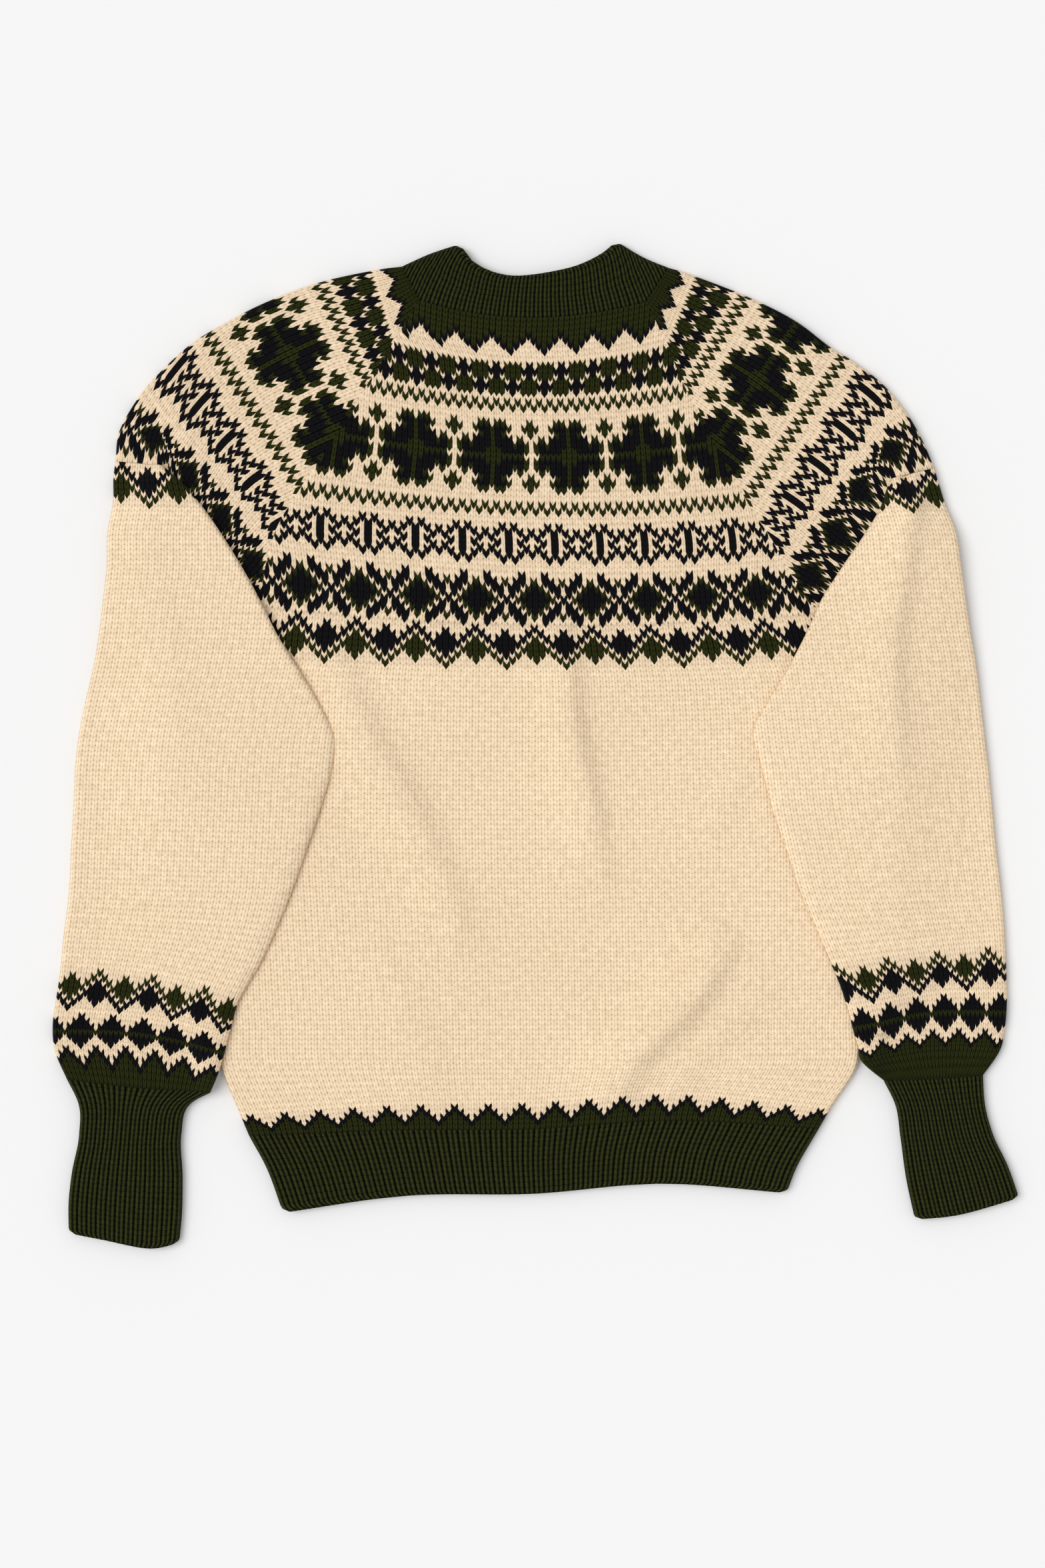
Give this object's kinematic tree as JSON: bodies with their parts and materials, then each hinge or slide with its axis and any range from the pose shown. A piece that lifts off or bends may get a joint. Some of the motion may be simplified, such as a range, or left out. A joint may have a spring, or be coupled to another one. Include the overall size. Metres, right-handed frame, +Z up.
{
  "type": "fair isle jumper",
  "caption": "Knitted pullover laid flat, with a patterned round yoke, ribbed collar, hem and cuffs, and full sleeves folded down over the sides.",
  "frame": {"origin": "middle of the laid garment's outline, on the floor it lies on", "axes": "+Y to the neck, +X to the right as seen from above, +Z up out of the cloth"},
  "size_m": [0.6661, 0.6936, 0.015],
  "materials": {
    "cream_wool": "cream wool, plain knit",
    "patterned_wool": "cream, dark green and black wool, stranded knit",
    "green_rib": "dark green wool, one by one rib"
  },
  "bodies": {
    "root": {"collar": "green_rib", "yoke": "patterned_wool", "body": "cream_wool", "hem_rib": "green_rib", "sleeve_left": "cream_wool", "sleeve_right": "cream_wool", "cuff_left": "green_rib", "cuff_right": "green_rib"}
  },
  "joints": []
}
